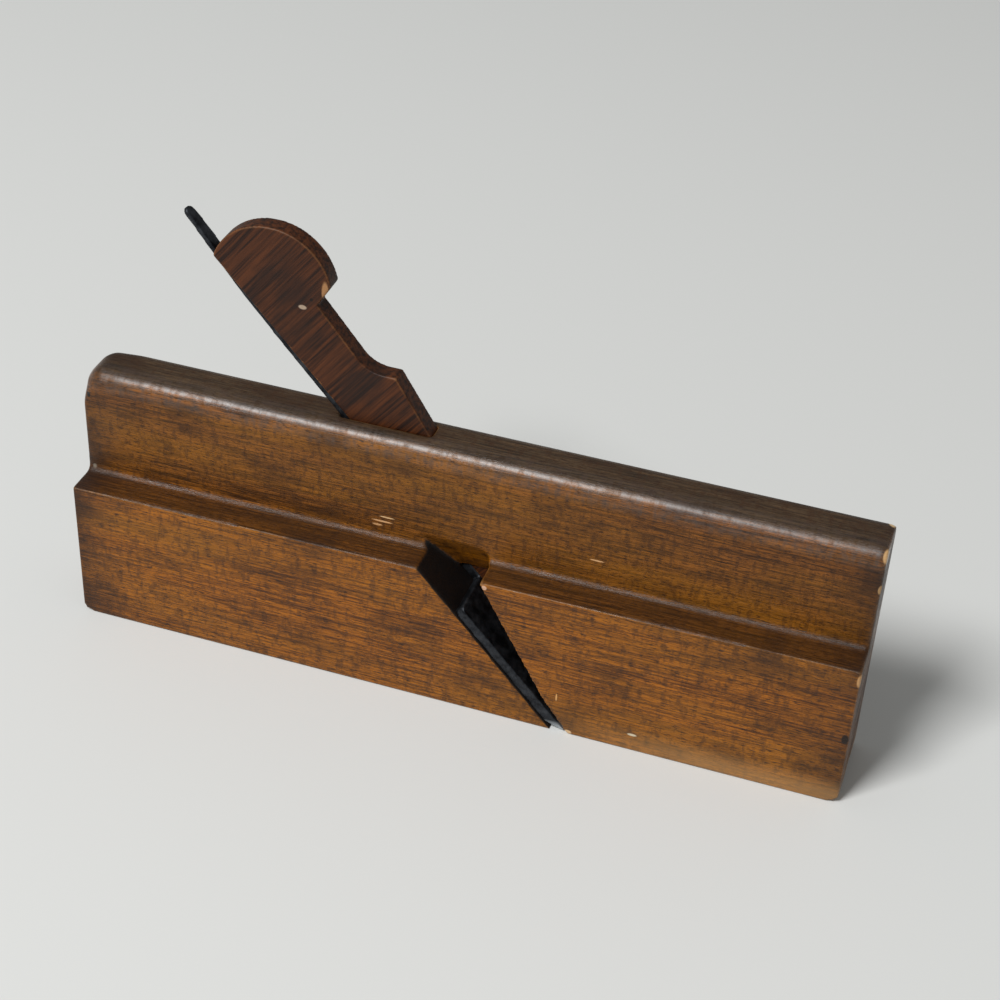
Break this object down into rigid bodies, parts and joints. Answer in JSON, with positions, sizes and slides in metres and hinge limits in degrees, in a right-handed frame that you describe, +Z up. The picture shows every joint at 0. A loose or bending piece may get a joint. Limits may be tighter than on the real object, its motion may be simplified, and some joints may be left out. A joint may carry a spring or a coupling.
{
  "type": "moulding plane",
  "caption": "Wooden moulding plane with a stepped stock, a round-headed wedge and a T-shaped iron whose edge matches a hollow sole.",
  "frame": {"origin": "centre of the sole's plane, halfway along and halfway across the stock", "axes": "+X along the stock from heel to toe, +Y across it to the blind side, +Z up from the sole"},
  "size_m": [0.2414, 0.028, 0.1395],
  "materials": {
    "stock_beech": "satin",
    "wedge_beech": "satin",
    "iron_steel": "satin"
  },
  "bodies": {
    "stock": {"stock": "stock_beech"},
    "wedge": {"wedge": "wedge_beech"},
    "iron": {"iron": "iron_steel"}
  },
  "joints": [
    {"name": "wedge_slide", "type": "slide", "parent": "stock", "child": "wedge", "axis": [-0.5373, 0, 0.8434], "range_m": [0, 0.082]},
    {"name": "iron_slide", "type": "slide", "parent": "stock", "child": "iron", "axis": [0.6691, 0, -0.7431], "range_m": [0, 0.192]}
  ]
}
